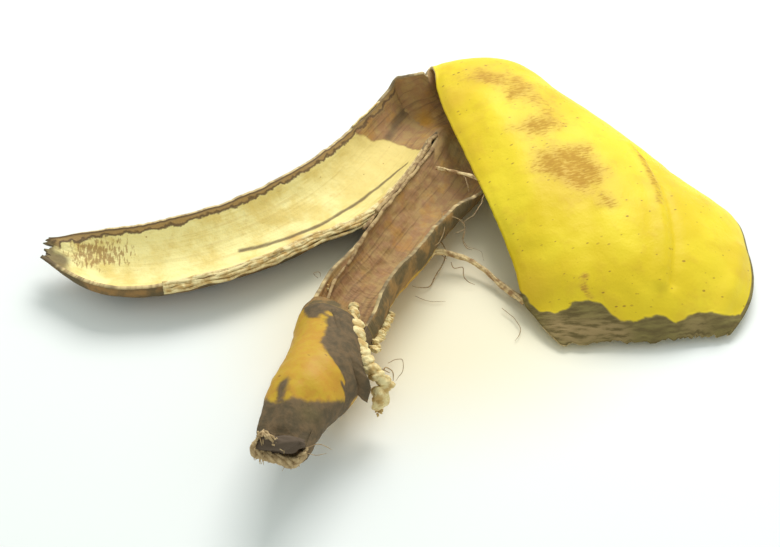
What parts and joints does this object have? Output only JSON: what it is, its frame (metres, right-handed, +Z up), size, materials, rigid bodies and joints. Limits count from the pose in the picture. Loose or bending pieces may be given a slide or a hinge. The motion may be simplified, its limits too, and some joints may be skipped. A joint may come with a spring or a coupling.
{
  "type": "banana peel",
  "caption": "Discarded banana peel lying open on a table: two narrow petals spread inside up, a wide petal folded over outside up, neck and dry stalk still on",
  "frame": {"origin": "centre of the outline on the table, at the lowest point", "axes": "+Z up; +X along the longest extent, from the tip of the left petal to the right end of the folded petal; +Y from the stalk towards the fold"},
  "size_m": [0.227, 0.1818, 0.032],
  "materials": {
    "peel_skin": "satin"
  },
  "bodies": {
    "root": {"peel": "peel_skin"}
  },
  "joints": []
}
